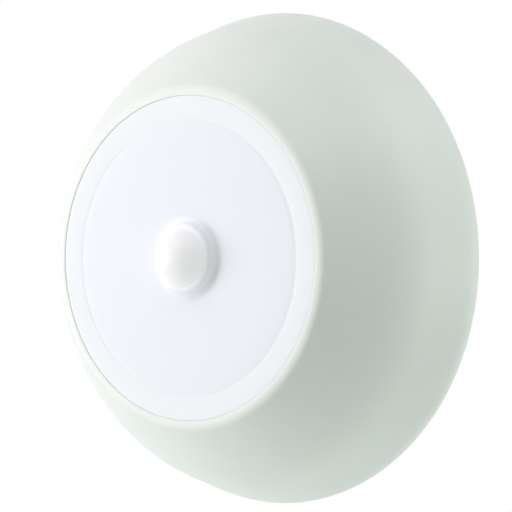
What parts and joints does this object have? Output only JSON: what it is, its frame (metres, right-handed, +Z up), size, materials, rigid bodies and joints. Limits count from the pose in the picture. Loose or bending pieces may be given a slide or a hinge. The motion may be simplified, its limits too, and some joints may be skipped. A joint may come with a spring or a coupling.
{
  "type": "sensor ceiling light",
  "caption": "Round white battery ceiling light with a frosted lens and a motion-sensor dome, twisting onto a screwed plate.",
  "frame": {"origin": "centre of the mounting plate's ceiling face", "axes": "+Z up into the ceiling, along the lamp's axis; +X towards the light sensor beside the infrared sensor"},
  "size_m": [0.1658, 0.1658, 0.0637],
  "materials": {
    "shell_plastic": "satin white",
    "tray_plastic": "fine matte",
    "lens_frosted": "frosted, translucent on the real object",
    "dome_milky": "milky, thin enough to pass infrared",
    "board_white": "white solder mask",
    "emitter_yellow": "phosphor in a white package",
    "black_component": "moulded",
    "contact_nickel": "nickel plated",
    "screw_steel": "zinc plated",
    "lead_red": "flexible cover",
    "lead_black": "flexible cover",
    "cell_jacket": "printed sleeve without print",
    "sensor_clear": "clear epoxy"
  },
  "bodies": {
    "plate": {"mounting_plate": "shell_plastic"},
    "lamp": {"housing": "shell_plastic", "reflector": "shell_plastic", "battery_tray": "tray_plastic", "sensor_shroud": "tray_plastic", "lead_plug": "tray_plastic", "lead_socket": "tray_plastic", "lens": "lens_frosted", "sensor_dome": "dome_milky", "led_board": "board_white", "led_1": "emitter_yellow", "led_2": "emitter_yellow", "led_3": "emitter_yellow", "led_4": "emitter_yellow", "led_5": "emitter_yellow", "led_6": "emitter_yellow", "led_7": "emitter_yellow", "led_8": "emitter_yellow", "control_chip": "black_component", "driver_inductor": "black_component", "storage_capacitor": "black_component", "sensor_riser": "black_component", "contact_spring_1": "contact_nickel", "contact_spring_2": "contact_nickel", "contact_spring_3": "contact_nickel", "contact_spring_4": "contact_nickel", "contact_bridge_1": "contact_nickel", "contact_bridge_2": "contact_nickel", "contact_bridge_3": "contact_nickel", "terminal_positive": "contact_nickel", "terminal_negative": "contact_nickel", "pir_sensor": "contact_nickel", "tray_screw_1": "screw_steel", "tray_screw_2": "screw_steel", "tray_screw_3": "screw_steel", "tray_screw_4": "screw_steel", "board_screw_1": "screw_steel", "board_screw_2": "screw_steel", "board_screw_3": "screw_steel", "red_lead": "lead_red", "black_lead": "lead_black", "battery_cell_1": "cell_jacket", "battery_cell_2": "cell_jacket", "battery_cell_3": "cell_jacket", "battery_cell_4": "cell_jacket", "light_sensor": "sensor_clear"}
  },
  "joints": [
    {"name": "bayonet_twist", "type": "hinge", "parent": "plate", "child": "lamp", "pos_m": [0, 0, 0], "axis": [0, 0, -1], "range_deg": [0, 24]}
  ]
}
